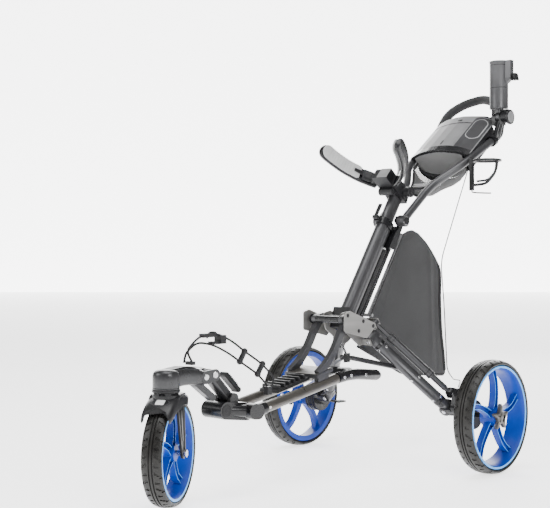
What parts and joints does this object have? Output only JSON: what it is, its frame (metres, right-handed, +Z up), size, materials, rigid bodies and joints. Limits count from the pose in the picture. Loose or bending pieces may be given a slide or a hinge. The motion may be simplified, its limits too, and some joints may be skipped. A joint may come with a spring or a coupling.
{
  "type": "folding golf push cart",
  "caption": "Folding three-wheel push cart for a golf bag: leaning column with cradle arms, bow handle with console, spreading rear legs and a swivelling front wheel.",
  "frame": {"origin": "on the floor under the middle of the bounding box", "axes": "+Z up, -Y towards the front wheel, +X towards the side with the umbrella holder"},
  "size_m": [0.7034, 1.4084, 1.123],
  "materials": {
    "charcoal_metal": "satin dark grey powder coat",
    "black_plastic": "matt moulded",
    "dark_plastic": "matt moulded",
    "plate_metal": "brushed, light grey",
    "warm_grey_metal": "satin warm grey",
    "bright_steel": "bright",
    "pale_pad": "soft ribbed pad",
    "lid_plastic": "matt light grey",
    "net_mesh": "open knitted mesh",
    "bag_fabric": "woven polyester",
    "blue_plastic": "satin blue",
    "tyre_rubber": "moulded tread",
    "cap_metal": "grey-brown satin"
  },
  "bodies": {
    "main_frame": {"left_side_plate": "plate_metal", "right_side_plate": "plate_metal", "plate_block": "black_plastic", "outer_column": "charcoal_metal", "column_collar": "black_plastic", "rear_rail": "bright_steel", "pivot_casting": "black_plastic", "storage_bag": "bag_fabric", "brake_cable": "black_plastic"},
    "slide": {"inner_column": "charcoal_metal", "bag_bracket": "black_plastic", "left_bracket_arm": "black_plastic", "right_bracket_arm": "black_plastic", "left_arm_pad": "pale_pad", "right_arm_pad": "pale_pad"},
    "quick_release": {"height_lever": "black_plastic"},
    "handle": {"left_handle_tube": "charcoal_metal", "right_handle_tube": "charcoal_metal", "handle_bow": "black_plastic", "console_tray": "dark_plastic", "mesh_net": "net_mesh", "cup_holder_bar": "dark_plastic", "umbrella_clamp": "dark_plastic"},
    "lid": {"console_lid": "lid_plastic"},
    "hand_brake": {"brake_lever": "black_plastic"},
    "cup_ring": {"cup_holder_ring": "dark_plastic"},
    "umbrella_cup": {"umbrella_holder": "charcoal_metal"},
    "thumb_screw": {"umbrella_screw": "black_plastic"},
    "lower_frame": {"left_lower_tube": "warm_grey_metal", "right_lower_tube": "warm_grey_metal", "rear_crossbar": "black_plastic", "cradle_frame": "warm_grey_metal", "cradle_platform": "dark_plastic", "hinge_block": "black_plastic", "bungee_strap": "black_plastic"},
    "latch": {"front_latch": "dark_plastic"},
    "nose": {"front_arm": "charcoal_metal", "diagonal_link": "charcoal_metal"},
    "steering": {"fork": "black_plastic", "front_axle": "bright_steel"},
    "front_wheel": {"front_rim": "blue_plastic", "front_tyre": "tyre_rubber"},
    "hub_slider": {"spreader_hub": "black_plastic"},
    "pedal": {"brake_pedal": "black_plastic"},
    "left_leg_arm": {"left_leg": "charcoal_metal", "left_spreader": "charcoal_metal"},
    "left_link": {"left_upper_link": "dark_plastic"},
    "left_carrier": {"left_wheel_carrier": "black_plastic"},
    "left_wheel": {"left_rear_rim": "blue_plastic", "left_rear_tyre": "tyre_rubber", "left_hub_cap": "cap_metal"},
    "right_leg_arm": {"right_leg": "charcoal_metal", "right_spreader": "charcoal_metal"},
    "right_link": {"right_upper_link": "dark_plastic"},
    "right_carrier": {"right_wheel_carrier": "black_plastic"},
    "right_wheel": {"right_rear_rim": "blue_plastic", "right_rear_tyre": "tyre_rubber", "right_hub_cap": "cap_metal"}
  },
  "joints": [
    {"name": "handle_fold", "type": "hinge", "parent": "main_frame", "child": "handle", "pos_m": [0, 0.2224, 0.65], "axis": [-1, 0, 0], "range_deg": [0, 105], "deforming": ["storage_bag", "brake_cable"]},
    {"name": "frame_fold", "type": "hinge", "parent": "main_frame", "child": "lower_frame", "pos_m": [0, -0.0246, 0.396], "axis": [-1, 0, 0], "range_deg": [0, 100]},
    {"name": "nose_fold", "type": "hinge", "parent": "lower_frame", "child": "nose", "pos_m": [0, -0.4206, 0.226], "axis": [-1, 0, 0], "range_deg": [0, 88], "deforming": ["bungee_strap"]},
    {"name": "front_swivel", "type": "hinge", "parent": "nose", "child": "steering", "pos_m": [0, -0.6096, 0.28], "axis": [0, 0, 1], "continuous": true},
    {"name": "front_spin", "type": "hinge", "parent": "steering", "child": "front_wheel", "pos_m": [-0.00933, -0.59191, 0.12], "axis": [0.8846, 0.4664, 0], "continuous": true},
    {"name": "latch_release", "type": "hinge", "parent": "lower_frame", "child": "latch", "pos_m": [-0.038, -0.3506, 0.236], "axis": [-1, 0, 0], "range_deg": [0, 35], "stiffness_Nm_per_rad": 0.3},
    {"name": "bracket_height", "type": "slide", "parent": "main_frame", "child": "slide", "axis": [0, 0.5678, 0.8231], "range_m": [-0.015, 0.045]},
    {"name": "height_lever_release", "type": "hinge", "parent": "main_frame", "child": "quick_release", "pos_m": [0, 0.15286, 0.66024], "axis": [1, 0, 0], "range_deg": [0, 100]},
    {"name": "lid_open", "type": "hinge", "parent": "handle", "child": "lid", "pos_m": [0, 0.6056, 0.9524], "axis": [-1, 0, 0], "range_deg": [0, 70]},
    {"name": "hand_brake_pull", "type": "hinge", "parent": "handle", "child": "hand_brake", "pos_m": [0.066, 0.6424, 0.962], "axis": [0, 0.8336, -0.5524], "range_deg": [0, 10]},
    {"name": "cup_ring_fold", "type": "hinge", "parent": "handle", "child": "cup_ring", "pos_m": [0.125, 0.4474, 0.822], "axis": [0, -1, 0], "range_deg": [0, 85]},
    {"name": "umbrella_tilt", "type": "hinge", "parent": "handle", "child": "umbrella_cup", "pos_m": [0.12, 0.5904, 0.961], "axis": [1, 0, 0], "range_deg": [-10, 12]},
    {"name": "umbrella_screw_turn", "type": "hinge", "parent": "umbrella_cup", "child": "thumb_screw", "pos_m": [0.1712, 0.5904, 1.073], "axis": [1, 0, 0], "continuous": true},
    {"name": "left_leg_fold", "type": "hinge", "parent": "main_frame", "child": "left_leg_arm", "pos_m": [-0.052, 0.0674, 0.34], "axis": [0, -0.8192, -0.5736], "range_deg": [0, 33.01]},
    {"name": "left_link_fold", "type": "hinge", "parent": "main_frame", "child": "left_link", "pos_m": [-0.058, 0.0734, 0.378], "axis": [0, -0.8192, -0.5736], "range_deg": [0, 33.01]},
    {"name": "left_carrier_turn", "type": "hinge", "parent": "left_leg_arm", "child": "left_carrier", "pos_m": [-0.20075, 0.19389, 0.15936], "axis": [0, -0.8192, -0.5736], "range_deg": [-33.01, 0]},
    {"name": "left_wheel_spin", "type": "hinge", "parent": "left_carrier", "child": "left_wheel", "pos_m": [-0.32175, 0.2154, 0.145], "axis": [1, 0, 0], "continuous": true},
    {"name": "right_leg_fold", "type": "hinge", "parent": "main_frame", "child": "right_leg_arm", "pos_m": [0.052, 0.0674, 0.34], "axis": [0, 0.8192, 0.5736], "range_deg": [0, 33.01]},
    {"name": "right_link_fold", "type": "hinge", "parent": "main_frame", "child": "right_link", "pos_m": [0.058, 0.0734, 0.378], "axis": [0, 0.8192, 0.5736], "range_deg": [0, 33.01]},
    {"name": "right_carrier_turn", "type": "hinge", "parent": "right_leg_arm", "child": "right_carrier", "pos_m": [0.20075, 0.19389, 0.15936], "axis": [0, 0.8192, 0.5736], "range_deg": [-33.01, 0]},
    {"name": "right_wheel_spin", "type": "hinge", "parent": "right_carrier", "child": "right_wheel", "pos_m": [0.32175, 0.2154, 0.145], "axis": [1, 0, 0], "continuous": true},
    {"name": "hub_slide", "type": "slide", "parent": "main_frame", "child": "hub_slider", "axis": [0, -0.5736, 0.8192], "range_m": [0, 0.024]},
    {"name": "pedal_press", "type": "hinge", "parent": "left_carrier", "child": "pedal", "pos_m": [-0.28175, 0.2454, 0.152], "axis": [-1, 0, 0], "range_deg": [0, 15]}
  ],
  "couplings": [
    {"joint": "left_leg_fold", "follows": "frame_fold", "ratio": 0.33},
    {"joint": "left_link_fold", "follows": "frame_fold", "ratio": 0.33},
    {"joint": "left_carrier_turn", "follows": "frame_fold", "ratio": -0.33},
    {"joint": "right_leg_fold", "follows": "frame_fold", "ratio": 0.33},
    {"joint": "right_link_fold", "follows": "frame_fold", "ratio": 0.33},
    {"joint": "right_carrier_turn", "follows": "frame_fold", "ratio": -0.33},
    {"joint": "hub_slide", "follows": "frame_fold", "m_per_rad": 0.01375}
  ]
}
